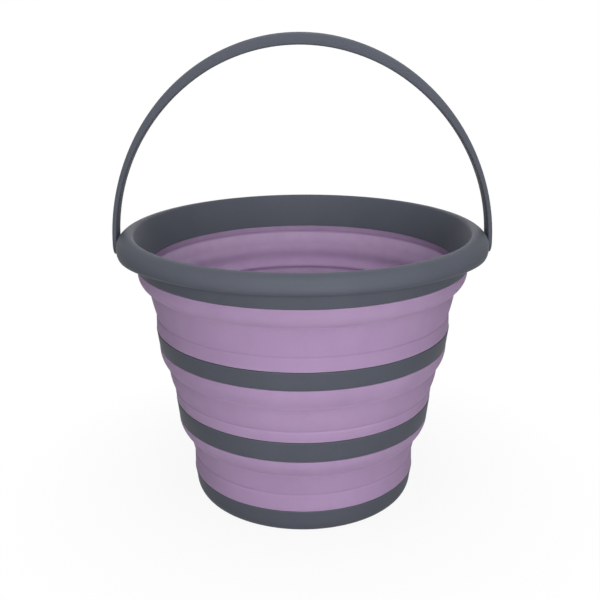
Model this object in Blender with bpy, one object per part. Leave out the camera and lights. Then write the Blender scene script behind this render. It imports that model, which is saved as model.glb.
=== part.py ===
"""Collapsible camp bucket at its real size, in metres, with +Z up.

Stiff plastic rings carry soft rubber wall sections between them. Each soft wall folds inside
out at its two creases, so the rings drop into one another and the bucket packs flat. A stiff
bail handle swings on two pins in the rim. The origin is on the floor, under the base's middle,
and the two pins are on the X axis.
"""

import math

import bmesh
import bpy

# Clearance between pieces that touch, and how finely round pieces are cut
GAP = 0.0003
SEGMENTS = 48
PIN_SEGMENTS = 20
HANDLE_STEPS = 32
HANDLE_END_STEPS = 5
ARC_STEPS = 4
FOLD_STEPS = 5
WALL_STEPS = 3
DOME_STEPS = 6
BASE_ROUND_STEPS = 6
SMOOTH_ANGLE = 32
FLAT_ANGLE = 0.0001
MERGE_DISTANCE = 0.000001
CUT_OVERRUN = 0.002

# Heights of the stack, from the floor up
BASE_HEIGHT = 0.021
LOWER_WALL_HEIGHT = 0.0375
LOWER_FOLD_HEIGHT = 0.0168
LOWER_BAND_HEIGHT = 0.0191
MIDDLE_WALL_HEIGHT = 0.0341
MIDDLE_FOLD_HEIGHT = 0.0175
MIDDLE_BAND_HEIGHT = 0.0168
UPPER_WALL_HEIGHT = 0.0395
UPPER_FOLD_HEIGHT = 0.0177
RIM_HEIGHT = 0.030

# Radii, each stepping out from the piece below it: how far a lip stands outside the ring that
# it folds over, how far the fold above it spreads, and how much a band flares to its top
BASE_TOP_RADIUS = 0.1043
LOWER_LIP_REACH = 0.0035
LOWER_FOLD_SPREAD = 0.0094
MIDDLE_LIP_REACH = 0.0061
MIDDLE_FOLD_SPREAD = 0.0068
UPPER_LIP_REACH = 0.0050
UPPER_FOLD_SPREAD = 0.0092
BAND_FLARE = 0.0018

# Base cup
BASE_WALL = 0.0025
BASE_TAPER = 0.0016
BASE_ROUND_WIDTH = 0.006
BASE_ROUND_HEIGHT = 0.012
FLOOR_THICKNESS = 0.0025
FOOT_WIDTH = 0.0065
FOOT_HEIGHT = 0.0015
HEM_DEPTH = 0.009

# Soft walls: a plain hem, a small step in, and a wall that swells out to its lip
SOFT_WALL = 0.0018
CREASE_WALL = 0.0014
SOFT_PROUD = 0.0005
HEM_TAPER = 0.0003
HEM_STEP = 0.0006
HEM_STEP_HEIGHT = 0.0018
WALL_ROUNDNESS = 1.4
LOWER_HEM_HEIGHT = 0.0155
MIDDLE_HEM_HEIGHT = 0.0128
UPPER_HEM_HEIGHT = 0.0103
CREASE_DEPTH = 0.0005
CREASE_HEIGHT = 0.0014
LIP_BULGE = 0.0008
LIP_HEIGHT = 0.0025

# How round each fold's shoulder is: 1 would be a straight cone, and more stays upright for longer
LOWER_FOLD_ROUNDNESS = 2.0
MIDDLE_FOLD_ROUNDNESS = 2.4
UPPER_FOLD_ROUNDNESS = 4.0

# Stiff bands
BAND_WALL = 0.0025
BAND_EDGE = 0.0006

# Rim: a rolled edge over a grooved skirt that grips the soft body. The roll's lower edge dips
# into a lug under each end of the handle.
SKIRT_DEPTH = 0.010
ROLL_OVERHANG = 0.0173
ROLL_REACH = 0.0127
RIM_WALL = 0.0025
FACE_WALL = 0.0027
CROWN_DROP = 0.0115
MOUTH_ROUND = 0.0032
MOUTH_TURN = 158
ROLL_DROP = 0.0037
ROLL_TUCK = 0.004
ROLL_TUCK_TURN = 75
LUG_DROP = 0.0045
LUG_SHARPNESS = 9
TONGUE_HEIGHT = 0.0072
RING_HEIGHT = 0.0067
RING_BULGE = 0.0015

# Handle and its pins
PIVOT_DROP = 0.0015
HANDLE_CLEARANCE = 0.0004
HANDLE_WIDTH = 0.0185
HANDLE_END_THICKNESS = 0.0038
HANDLE_INNER_RISE = 0.0049
HANDLE_INNER_SHARPNESS = 4
HANDLE_OUTER_RISE = 0.0113
HANDLE_OUTER_SHARPNESS = 2.5
HANDLE_EDGE = 0.0014
HANDLE_END_TURN = 82
PIN_RADIUS = 0.0035
PIN_HEAD_RADIUS = 0.0056
PIN_HEAD_THICKNESS = 0.0013
PIN_TIP_EDGE = 0.0007
PIN_REACH = 0.014
BOSS_WALL = 0.0022

# Heights worked out from the stack
LOWER_LIP_LEVEL = BASE_HEIGHT + LOWER_WALL_HEIGHT
LOWER_BAND_LEVEL = LOWER_LIP_LEVEL + LOWER_FOLD_HEIGHT
LOWER_BAND_TOP = LOWER_BAND_LEVEL + LOWER_BAND_HEIGHT
MIDDLE_LIP_LEVEL = LOWER_BAND_TOP + MIDDLE_WALL_HEIGHT
MIDDLE_BAND_LEVEL = MIDDLE_LIP_LEVEL + MIDDLE_FOLD_HEIGHT
MIDDLE_BAND_TOP = MIDDLE_BAND_LEVEL + MIDDLE_BAND_HEIGHT
UPPER_LIP_LEVEL = MIDDLE_BAND_TOP + UPPER_WALL_HEIGHT
SKIRT_LEVEL = UPPER_LIP_LEVEL + UPPER_FOLD_HEIGHT
RIM_TOP = SKIRT_LEVEL + RIM_HEIGHT
PIVOT_LEVEL = RIM_TOP - CROWN_DROP - PIVOT_DROP
HEM_CAP = GAP + SOFT_WALL

# Radii worked out from the base outwards
LOWER_LIP_RADIUS = BASE_TOP_RADIUS + LOWER_LIP_REACH
LOWER_BAND_RADIUS = LOWER_LIP_RADIUS + LOWER_FOLD_SPREAD
LOWER_BAND_TOP_RADIUS = LOWER_BAND_RADIUS + BAND_FLARE
MIDDLE_LIP_RADIUS = LOWER_BAND_TOP_RADIUS + MIDDLE_LIP_REACH
MIDDLE_BAND_RADIUS = MIDDLE_LIP_RADIUS + MIDDLE_FOLD_SPREAD
MIDDLE_BAND_TOP_RADIUS = MIDDLE_BAND_RADIUS + BAND_FLARE
UPPER_LIP_RADIUS = MIDDLE_BAND_TOP_RADIUS + UPPER_LIP_REACH
SKIRT_RADIUS = UPPER_LIP_RADIUS + UPPER_FOLD_SPREAD
RIM_INNER_RADIUS = SKIRT_RADIUS - SKIRT_DEPTH
RIM_OUTER_RADIUS = SKIRT_RADIUS + ROLL_OVERHANG
CROWN_RADIUS = RIM_OUTER_RADIUS - ROLL_REACH
HANDLE_INNER_RADIUS = RIM_OUTER_RADIUS + HANDLE_CLEARANCE

SLATE = (0.112, 0.121, 0.145)
LILAC = (0.402, 0.275, 0.450)
SLATE_ROUGHNESS = 0.42
LILAC_ROUGHNESS = 0.50


def clear_scene():
    for obj in list(bpy.data.objects):
        bpy.data.objects.remove(obj)


def finish_material(name, colour, roughness):
    """A plain moulded finish, one for each piece."""
    finish = bpy.data.materials.new(name + "_finish")
    finish.use_nodes = True
    shader = finish.node_tree.nodes["Principled BSDF"]
    shader.inputs["Base Color"].default_value = (*colour, 1)
    shader.inputs["Roughness"].default_value = roughness
    shader.inputs["Metallic"].default_value = 0
    finish.diffuse_color = (*colour, 1)
    return finish


def plastic(name):
    return finish_material(name, SLATE, SLATE_ROUGHNESS)


def rubber(name):
    return finish_material(name, LILAC, LILAC_ROUGHNESS)


def slide_frame(name, level, parent):
    """An empty on the bucket's axis, which carries what moves with it."""
    frame = bpy.data.objects.new(name, None)
    bpy.context.scene.collection.objects.link(frame)
    frame.parent = parent
    frame.location.z = level - (parent.matrix_world.translation.z if parent else 0)
    bpy.context.view_layer.update()
    return frame


def add_piece(name, bm, finish, parent, level):
    """Turns a bmesh whose heights start at its own seat into a piece, set at that level."""
    bmesh.ops.recalc_face_normals(bm, faces=bm.faces)
    mesh = bpy.data.meshes.new(name)
    bm.to_mesh(mesh)
    bm.free()
    mesh.shade_smooth()
    mesh.set_sharp_from_angle(angle=math.radians(SMOOTH_ANGLE))
    mesh.materials.append(finish)
    piece = bpy.data.objects.new(name, mesh)
    bpy.context.scene.collection.objects.link(piece)
    piece.parent = parent
    piece.location.z = level - (parent.matrix_world.translation.z if parent else 0)
    return piece


def spun(outline, axis, segments, closed=True):
    """Spins an outline of (radius, distance along the axis) into a closed solid of revolution."""
    bm = bmesh.new()
    if axis == "Z":
        points = [bm.verts.new((radius, 0, along)) for radius, along in outline]
    else:
        points = [bm.verts.new((along, 0, radius)) for radius, along in outline]
    edges = [bm.edges.new(pair) for pair in zip(points, points[1:])]
    if closed:
        edges.append(bm.edges.new((points[-1], points[0])))
    bmesh.ops.spin(
        bm,
        geom=points + edges,
        cent=(0, 0, 0),
        axis=(0, 0, 1) if axis == "Z" else (1, 0, 0),
        angle=math.tau,
        steps=segments,
        use_merge=True,
    )
    bmesh.ops.remove_doubles(bm, verts=bm.verts, dist=MERGE_DISTANCE)
    return bm


def turned(name, outline, finish, parent, level, closed=True):
    return add_piece(name, spun(outline, "Z", SEGMENTS, closed), finish, parent, level)


def arc(centre, semi_axes, start, end, steps=ARC_STEPS):
    """Points on an ellipse from the start angle to the end angle, both in degrees."""
    angles = [math.radians(start + (end - start) * k / steps) for k in range(steps + 1)]
    return [
        (centre[0] + semi_axes[0] * math.cos(a), centre[1] + semi_axes[1] * math.sin(a))
        for a in angles
    ]


def base_radius(level):
    """Outer radius of the base cup's tapered side at a height above the floor."""
    run = BASE_HEIGHT - BASE_ROUND_HEIGHT
    return BASE_TOP_RADIUS - BASE_TAPER * (BASE_HEIGHT - level) / run


def base_outline():
    """From the middle of the inside floor, up the wall and round to the recessed underside."""
    floor_level = FOOT_HEIGHT + FLOOR_THICKNESS
    low_radius = base_radius(BASE_ROUND_HEIGHT)
    edge_centre = (low_radius - BASE_ROUND_WIDTH, BASE_ROUND_HEIGHT)
    inside = (BASE_ROUND_WIDTH - BASE_WALL, BASE_ROUND_HEIGHT - floor_level)
    foot_radius = edge_centre[0] - FOOT_WIDTH
    return [
        (0, floor_level),
        *arc(edge_centre, inside, -90, 0),
        (BASE_TOP_RADIUS - BASE_WALL, BASE_HEIGHT),
        (BASE_TOP_RADIUS - BAND_EDGE, BASE_HEIGHT),
        (BASE_TOP_RADIUS, BASE_HEIGHT - BAND_EDGE),
        *arc(edge_centre, (BASE_ROUND_WIDTH, BASE_ROUND_HEIGHT), 0, -90, BASE_ROUND_STEPS),
        (foot_radius, 0),
        (foot_radius - FOOT_HEIGHT, FOOT_HEIGHT),
        (0, FOOT_HEIGHT),
    ]


def base_hem_outline():
    """The soft body's lowest edge, moulded over the base cup's top and down inside it."""
    low = BASE_HEIGHT - HEM_DEPTH
    top_radius = BASE_TOP_RADIUS - BASE_WALL - GAP
    low_radius = base_radius(low) - BASE_WALL - GAP
    return [
        (BASE_TOP_RADIUS + SOFT_PROUD, GAP),
        (BASE_TOP_RADIUS + SOFT_PROUD, HEM_CAP),
        (top_radius - SOFT_WALL, HEM_CAP),
        (low_radius - SOFT_WALL, -HEM_DEPTH),
        (low_radius, -HEM_DEPTH),
        (top_radius, GAP),
    ]


def wall_outline(ring_radius, lip_radius, hem_height, height):
    """A soft wall: a plain hem above the ring, a small step, then the wall that turns over."""
    foot = ring_radius + SOFT_PROUD
    hem_top = foot - HEM_TAPER
    top = height - HEM_CAP - GAP - GAP
    wall_foot = (hem_top - HEM_STEP, hem_height + HEM_STEP_HEIGHT)
    wall_top = (lip_radius, top - CREASE_HEIGHT)
    wall = [wall_foot, *shoulder(wall_foot, wall_top, WALL_ROUNDNESS, WALL_STEPS)]
    return [
        (foot, 0),
        (hem_top, hem_height),
        *wall,
        (lip_radius - CREASE_DEPTH, top),
        (lip_radius - CREASE_DEPTH - CREASE_WALL, top),
        *((radius - SOFT_WALL, level) for radius, level in reversed(wall)),
        (hem_top - SOFT_WALL, hem_height),
        (foot - SOFT_WALL, 0),
    ]


def lip_outline(lip_radius):
    """The rounded lip at the foot of a sleeve: its outer points upwards, its inner ones down."""
    crease = lip_radius - CREASE_DEPTH
    outer = [(crease, 0), (lip_radius + LIP_BULGE, LIP_HEIGHT)]
    inner = [(lip_radius + LIP_BULGE - SOFT_WALL, LIP_HEIGHT), (crease - CREASE_WALL, 0)]
    return outer, inner


def shoulder(foot, head, roundness, steps=FOLD_STEPS):
    """Points up a soft wall that leans out at its foot and stands upright at its head."""
    shares = [step / steps for step in range(1, steps + 1)]
    return [
        (
            head[0] - (head[0] - foot[0]) * (1 - share) ** roundness,
            foot[1] + (head[1] - foot[1]) * share,
        )
        for share in shares
    ]


def fold_outline(lip_radius, head, inner_head, roundness):
    """A fold from its lip up: its outer points upwards, and its inner ones down."""
    outer_lip, inner_lip = lip_outline(lip_radius)
    foot = outer_lip[-1]
    inner_foot = (foot[0], foot[1] + SOFT_WALL)
    outer = outer_lip + shoulder(foot, head, roundness)
    inner = list(reversed(shoulder(inner_foot, inner_head, roundness))) + inner_lip
    return outer, inner


def sleeve_outline(lip_radius, fold_height, band_radius, band_height, roundness):
    """A soft sleeve: the lip, the fold under the band, the liner behind it and a cap over it."""
    pocket = BAND_WALL + GAP
    band_top = fold_height + band_height
    top_radius = band_radius + BAND_FLARE
    outer, inner = fold_outline(
        lip_radius,
        (band_radius, fold_height - GAP),
        (band_radius - pocket - SOFT_WALL, fold_height),
        roundness,
    )
    return [
        *outer,
        (band_radius - pocket, fold_height - GAP),
        (top_radius - pocket, band_top + GAP),
        (top_radius + SOFT_PROUD, band_top + GAP),
        (top_radius + SOFT_PROUD, band_top + HEM_CAP),
        (top_radius - pocket - SOFT_WALL, band_top + HEM_CAP),
        *inner,
    ]


def upper_sleeve_outline():
    """The soft fold under the rim: a tongue that the rim's groove grips, and a ring below it."""
    lean = face_lean()
    tongue_foot = RIM_INNER_RADIUS + FACE_WALL + GAP * math.hypot(1, lean)
    tongue_outer = SKIRT_RADIUS - RIM_WALL - GAP
    tongue_top = UPPER_FOLD_HEIGHT + TONGUE_HEIGHT
    head = UPPER_FOLD_HEIGHT - GAP
    ring_radius = RIM_INNER_RADIUS + GAP
    outer_lip, inner_lip = lip_outline(UPPER_LIP_RADIUS)
    return [
        *outer_lip,
        *shoulder(outer_lip[-1], (SKIRT_RADIUS, head), UPPER_FOLD_ROUNDNESS),
        (tongue_outer, head),
        (tongue_outer, tongue_top),
        (tongue_foot + lean * TONGUE_HEIGHT, tongue_top),
        (tongue_foot, head),
        (ring_radius, head),
        (ring_radius + RING_BULGE, head - RING_HEIGHT),
        *inner_lip,
    ]


def band_outline(low_radius, height):
    """A stiff band with eased outer edges."""
    top_radius = low_radius + BAND_FLARE
    return [
        (low_radius - BAND_EDGE, 0),
        (low_radius, BAND_EDGE),
        (top_radius, height - BAND_EDGE),
        (top_radius - BAND_EDGE, height),
        (top_radius - BAND_WALL, height),
        (low_radius - BAND_WALL, 0),
    ]


def rim_mouth():
    """The rounded inner edge of the rim's top, from its crown down to the leaning inner face."""
    centre = (CROWN_RADIUS, RIM_HEIGHT - MOUTH_ROUND)
    return arc(centre, (MOUTH_ROUND, MOUTH_ROUND), 90, MOUTH_TURN)


def face_lean():
    """How far the rim's inner face leans out for each metre that it climbs."""
    radius, level = rim_mouth()[-1]
    return (radius - RIM_INNER_RADIUS) / level


def rim_outline():
    """A rolled edge, open underneath, and a skirt with a groove for the soft body."""
    widest = RIM_HEIGHT - CROWN_DROP
    groove_top = TONGUE_HEIGHT + GAP
    lean = face_lean()
    face_back = RIM_INNER_RADIUS + FACE_WALL
    tuck_centre = (RIM_OUTER_RADIUS - ROLL_TUCK, widest)
    tuck = arc(tuck_centre, (ROLL_TUCK, ROLL_DROP), -ROLL_TUCK_TURN, 0)
    roof = arc((CROWN_RADIUS, widest), (ROLL_REACH - RIM_WALL, CROWN_DROP - RIM_WALL), 90, 0)
    dome = arc((CROWN_RADIUS, widest), (ROLL_REACH, CROWN_DROP), 0, 90, DOME_STEPS)
    return [
        (RIM_INNER_RADIUS, 0),
        (face_back, 0),
        (face_back + lean * groove_top, groove_top),
        (SKIRT_RADIUS - RIM_WALL, groove_top),
        (SKIRT_RADIUS - RIM_WALL, 0),
        (SKIRT_RADIUS, 0),
        (SKIRT_RADIUS, (SKIRT_RADIUS - face_back) / lean),
        *roof,
        (tuck[0][0] - RIM_WALL, tuck[0][1]),
        *tuck,
        *dome[1:],
        *rim_mouth()[1:],
    ]


def rim_mesh():
    """The rim as one turned solid, with the lugs that its roll's lower edge dips into."""
    bm = spun(rim_outline(), "Z", SEGMENTS)
    widest = RIM_HEIGHT - CROWN_DROP
    for vert in bm.verts:
        radius = math.hypot(vert.co.x, vert.co.y)
        if radius > CROWN_RADIUS and vert.co.z < widest:
            lug = LUG_DROP * abs(vert.co.x / radius) ** LUG_SHARPNESS
            vert.co.z -= lug * min(1, (widest - vert.co.z) / ROLL_DROP)
    bmesh.ops.connect_verts_nonplanar(bm, angle_limit=FLAT_ANGLE, faces=bm.faces)
    return bm


def pin_outline(clearance):
    """A pin from its tip to its head, along +X, grown by a clearance where it cuts its hole."""
    tip = RIM_OUTER_RADIUS - PIN_REACH - clearance
    face = HANDLE_INNER_RADIUS + HANDLE_END_THICKNESS
    seat = face - PIN_HEAD_THICKNESS - clearance
    end = face + (CUT_OVERRUN if clearance else 0)
    shaft = PIN_RADIUS + clearance
    head = PIN_HEAD_RADIUS + clearance
    return [
        (0, tip),
        (shaft - PIN_TIP_EDGE, tip),
        (shaft, tip + PIN_TIP_EDGE),
        (shaft, seat),
        (head, seat),
        (head, end),
        (0, end),
    ]


def side_piece(name, outline, finish, parent, side, lean=0):
    """A round piece on the pivot line. Side is 1 at +X, and -1 for its mirror at -X.

    The lean slants its inner end, for a piece that grows out of the rim's leaning face.
    """
    bm = spun(outline, "X", PIN_SEGMENTS, closed=False)
    inner_end = min(vert.co.x for vert in bm.verts)
    for vert in bm.verts:
        if vert.co.x < inner_end + MERGE_DISTANCE:
            vert.co.x += lean * vert.co.z
        vert.co.x *= side
    return add_piece(name, bm, finish, parent, PIVOT_LEVEL)


def boss_outline():
    """The solid boss that joins the roll to the inner face round each pin's hole."""
    radius = PIN_RADIUS + GAP + BOSS_WALL
    pivot_height = RIM_HEIGHT - CROWN_DROP - PIVOT_DROP
    start = RIM_INNER_RADIUS + face_lean() * pivot_height + FACE_WALL / 2
    end = RIM_OUTER_RADIUS - RIM_WALL / 2
    return [(0, start), (radius, start), (radius, end), (0, end)]


def make_helper(piece):
    """A cutter or a lump to be joined on: no piece of the bucket."""
    piece.hide_render = True
    piece.display_type = "WIRE"


def boolean(piece, other, operation):
    change = piece.modifiers.new(other.name, "BOOLEAN")
    change.operation = operation
    change.solver = "EXACT"
    change.object = other


def strap_section(near, far, half_width, place):
    """Eight corners of the handle's cross-section, between its inner and outer faces."""
    edge = min(HANDLE_EDGE, half_width / 2)
    corners = [
        (near, half_width - edge),
        (near + edge, half_width),
        (far - edge, half_width),
        (far, half_width - edge),
        (far, edge - half_width),
        (far - edge, -half_width),
        (near + edge, -half_width),
        (near, edge - half_width),
    ]
    return [place(reach, across) for reach, across in corners]


def end_sections(side):
    """The round end of the strap, from its tip up to the pivot line."""
    near = HANDLE_INNER_RADIUS
    far = near + HANDLE_END_THICKNESS
    sections = []
    for step in range(HANDLE_END_STEPS):
        angle = math.radians(HANDLE_END_TURN * (1 - step / HANDLE_END_STEPS))
        half_width = HANDLE_WIDTH / 2 * math.cos(angle)
        drop = HANDLE_WIDTH / 2 * math.sin(angle)
        sections.append(
            strap_section(near, far, half_width, lambda x, y, z=-drop: (side * x, y, z))
        )
    return sections


def arch_section(turn):
    """The strap's cross-section at an angle round the arch, measured from the +X pivot."""
    height = abs(math.sin(turn))
    near = HANDLE_INNER_RADIUS + HANDLE_INNER_RISE * height**HANDLE_INNER_SHARPNESS
    far = HANDLE_INNER_RADIUS + HANDLE_END_THICKNESS
    far += HANDLE_OUTER_RISE * height**HANDLE_OUTER_SHARPNESS
    return strap_section(
        near, far, HANDLE_WIDTH / 2, lambda r, y: (r * math.cos(turn), y, r * math.sin(turn))
    )


def handle_mesh():
    """The bail handle: one strap bent over the mouth, deeper at its crown than at its ends."""
    sections = end_sections(1)
    for step in range(HANDLE_STEPS + 1):
        sections.append(arch_section(math.pi * step / HANDLE_STEPS))
    sections.extend(reversed(end_sections(-1)))
    bm = bmesh.new()
    rings = [[bm.verts.new(point) for point in section] for section in sections]
    for ring, following in zip(rings, rings[1:]):
        for k in range(len(ring)):
            after = (k + 1) % len(ring)
            bm.faces.new((ring[k], ring[after], following[after], following[k]))
    bm.faces.new(rings[0])
    bm.faces.new(rings[-1])
    return bm


def add_base():
    turned("base_cup", base_outline(), plastic("base_cup"), None, 0, closed=False)
    turned("base_hem", base_hem_outline(), rubber("base_hem"), None, BASE_HEIGHT)


def add_wall(name, ring_radius, lip_radius, hem_height, height, parent, ring_top):
    outline = wall_outline(ring_radius, lip_radius, hem_height, height)
    turned(name, outline, rubber(name), parent, ring_top + HEM_CAP + GAP)


def add_ring(name, lip_radius, fold_height, band_radius, band_height, roundness, parent, level):
    """A stiff band with the soft sleeve that holds it, with its lip at that level."""
    sleeve = name + "_sleeve"
    outline = sleeve_outline(lip_radius, fold_height, band_radius, band_height, roundness)
    turned(sleeve, outline, rubber(sleeve), parent, level)
    band = name + "_band"
    outline = band_outline(band_radius, band_height)
    turned(band, outline, plastic(band), parent, level + fold_height)


def add_rim(parent):
    turned(
        "upper_sleeve", upper_sleeve_outline(), rubber("upper_sleeve"), parent, UPPER_LIP_LEVEL
    )
    return add_piece("rim", rim_mesh(), plastic("rim"), parent, SKIRT_LEVEL)


def add_handle(rim, rim_frame, hinge_frame):
    handle = add_piece("handle", handle_mesh(), plastic("handle"), hinge_frame, PIVOT_LEVEL)
    for name, side in (("right", 1), ("left", -1)):
        pin = name + "_pivot_pin"
        side_piece(pin, pin_outline(0), plastic(pin), rim_frame, side)
        boss = name + "_boss"
        lump = side_piece(boss, boss_outline(), plastic(boss), rim_frame, side, face_lean())
        hole = name + "_pin_hole"
        cutter = side_piece(hole, pin_outline(GAP), plastic(hole), rim_frame, side)
        make_helper(lump)
        make_helper(cutter)
        boolean(rim, lump, "UNION")
        boolean(rim, cutter, "DIFFERENCE")
        boolean(handle, cutter, "DIFFERENCE")


def build():
    clear_scene()
    lower_frame = slide_frame("lower_ring_slide", LOWER_LIP_LEVEL, None)
    middle_frame = slide_frame("middle_ring_slide", MIDDLE_LIP_LEVEL, lower_frame)
    rim_frame = slide_frame("rim_slide", UPPER_LIP_LEVEL, middle_frame)
    hinge_frame = slide_frame("handle_hinge", PIVOT_LEVEL, rim_frame)
    add_base()
    add_wall(
        "lower_wall",
        BASE_TOP_RADIUS,
        LOWER_LIP_RADIUS,
        LOWER_HEM_HEIGHT,
        LOWER_WALL_HEIGHT,
        None,
        BASE_HEIGHT,
    )
    add_ring(
        "lower",
        LOWER_LIP_RADIUS,
        LOWER_FOLD_HEIGHT,
        LOWER_BAND_RADIUS,
        LOWER_BAND_HEIGHT,
        LOWER_FOLD_ROUNDNESS,
        lower_frame,
        LOWER_LIP_LEVEL,
    )
    add_wall(
        "middle_wall",
        LOWER_BAND_TOP_RADIUS,
        MIDDLE_LIP_RADIUS,
        MIDDLE_HEM_HEIGHT,
        MIDDLE_WALL_HEIGHT,
        lower_frame,
        LOWER_BAND_TOP,
    )
    add_ring(
        "middle",
        MIDDLE_LIP_RADIUS,
        MIDDLE_FOLD_HEIGHT,
        MIDDLE_BAND_RADIUS,
        MIDDLE_BAND_HEIGHT,
        MIDDLE_FOLD_ROUNDNESS,
        middle_frame,
        MIDDLE_LIP_LEVEL,
    )
    add_wall(
        "upper_wall",
        MIDDLE_BAND_TOP_RADIUS,
        UPPER_LIP_RADIUS,
        UPPER_HEM_HEIGHT,
        UPPER_WALL_HEIGHT,
        middle_frame,
        MIDDLE_BAND_TOP,
    )
    rim = add_rim(rim_frame)
    add_handle(rim, rim_frame, hinge_frame)


build()
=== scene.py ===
import math

import bmesh
import bpy
from mathutils import Euler, Matrix, Vector, noise


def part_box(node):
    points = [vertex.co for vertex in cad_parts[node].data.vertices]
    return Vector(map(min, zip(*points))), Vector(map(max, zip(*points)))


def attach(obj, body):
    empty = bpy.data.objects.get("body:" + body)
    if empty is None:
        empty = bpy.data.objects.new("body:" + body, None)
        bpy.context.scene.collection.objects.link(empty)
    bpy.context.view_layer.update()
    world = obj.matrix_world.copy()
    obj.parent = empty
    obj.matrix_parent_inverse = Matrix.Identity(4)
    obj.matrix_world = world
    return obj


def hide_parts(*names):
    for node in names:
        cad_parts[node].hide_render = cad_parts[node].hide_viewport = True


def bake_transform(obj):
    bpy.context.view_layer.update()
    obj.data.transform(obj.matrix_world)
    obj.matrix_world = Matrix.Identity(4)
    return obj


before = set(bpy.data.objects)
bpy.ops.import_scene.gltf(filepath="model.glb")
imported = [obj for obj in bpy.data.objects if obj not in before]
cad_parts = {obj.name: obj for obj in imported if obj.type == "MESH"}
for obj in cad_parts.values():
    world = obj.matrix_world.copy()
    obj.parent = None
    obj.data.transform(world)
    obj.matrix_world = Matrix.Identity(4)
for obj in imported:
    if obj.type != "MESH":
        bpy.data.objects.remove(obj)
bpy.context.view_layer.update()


# Base cup: one stiff slate moulding with the bucket's floor in it. It stands on a flat ring round
# a recessed underside that shows the mould's gate, and the soft body is moulded over its top edge.
AROUND = 160
ARC_STEPS = 8
EASE_STEPS = 4
EASE_SHARE = 0.48
SHARP_TURN = 42
BASE_WALL = 0.0025
BASE_TAPER = 0.0016
BASE_ROUND_WIDTH = 0.0072
BASE_ROUND_HEIGHT = 0.012
BASE_ROUND_STEPS = 14
FLOOR_THICKNESS = 0.0025
FLOOR_RISE = 0.0006
FOOT_WIDTH = 0.0065
FOOT_HEIGHT = 0.0015
STIFF_EDGE = 0.0006
EDGE_LIFT = 0.0008
STIFF_PROUD = 0.0003
GATE_RADIUS = 0.0045
GATE_FOOT_RADIUS = 0.009
GATE_HEIGHT = 0.0007
SLATE_DARK = (0.075, 0.082, 0.102, 1)
SLATE_LIGHT = (0.097, 0.105, 0.130, 1)
SLATE_WORN = (0.130, 0.140, 0.166, 1)
SLATE_SPECULAR = 0.09
SLATE_ROUGHNESS = 0.54
SLATE_SMOOTHER = 0.06
SLATE_MOTTLE_ROUGHNESS = 0.1
SLATE_GRAIN_ROUGHNESS = 0.06
SLATE_RUBBED_SMOOTH = 0.1
SLATE_MOTTLE = (28, 4.0)
SLATE_GRAIN = (1500, 1.0)
SLATE_RIPPLE = (320, 2.0)
SLATE_PATCHES = (160, 3.0)
SLATE_PATCH_RANGE = (0.35, 0.7)
SLATE_MOTTLE_SHARE = 0.8
SLATE_GRAIN_SHARE = 0.45
SLATE_DARKER = 0.12
SLATE_WORN_SHARE = 0.9
SLATE_GRAIN_HEIGHT = 0.4
SLATE_RIPPLE_HEIGHT = 0.6
SLATE_BUMP = {"Strength": 0.2, "Distance": 0.00012}


class Shade:
    """A socket of a material's nodes, on which Python's operators add Math nodes."""

    def __init__(self, tree, socket=None):
        self.tree = tree
        self.socket = socket

    def node(self, kind, settings=(), values=(), output=0):
        """Adds a node: its settings first, then its sockets' values or links."""
        made = self.tree.nodes.new("ShaderNode" + kind)
        for key, value in dict(settings).items():
            setattr(made, key, value)
        for key, value in dict(values).items():
            if isinstance(value, Shade):
                self.tree.links.new(value.socket, made.inputs[key])
            else:
                made.inputs[key].default_value = value
        return Shade(self.tree, made.outputs[output])

    def math(self, operation, *values):
        return self.node("Math", {"operation": operation}, dict(enumerate(values)))

    def __add__(self, other):
        return self.math("ADD", self, other)

    def __radd__(self, other):
        return self.math("ADD", other, self)

    def __sub__(self, other):
        return self.math("SUBTRACT", self, other)

    def __rsub__(self, other):
        return self.math("SUBTRACT", other, self)

    def __mul__(self, other):
        return self.math("MULTIPLY", self, other)

    def __rmul__(self, other):
        return self.math("MULTIPLY", other, self)

    def clamped(self, low=0, high=1):
        return self.math("MINIMUM", self.math("MAXIMUM", self, low), high)

    def mix(self, first, second):
        """A colour between two colours, with this socket as the share of the second."""
        values = {"Factor": self, 6: first, 7: second}
        return self.node("Mix", {"data_type": "RGBA"}, values, 2)

    def cloud(self, place, scale, detail):
        """Soft noise round the middle of 0 to 1, at a scale in waves to the metre."""
        values = {"Vector": place, "Scale": scale, "Detail": detail}
        return self.node("TexNoise", {}, values)


def new_finish(name, roughness, specular):
    """A material with its Principled shader, ready for what varies over the surface."""
    finish = bpy.data.materials.new(name)
    finish.use_nodes = True
    shader = finish.node_tree.nodes["Principled BSDF"]
    shader.inputs["Roughness"].default_value = roughness
    shader.inputs["Specular IOR Level"].default_value = specular
    return finish, shader, Shade(finish.node_tree)


def feed(shader, **sockets):
    """Links what varies over the surface to the shader's sockets of these names."""
    for name, value in sockets.items():
        shader.id_data.links.new(value.socket, shader.inputs[name.replace("_", " ")])


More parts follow.
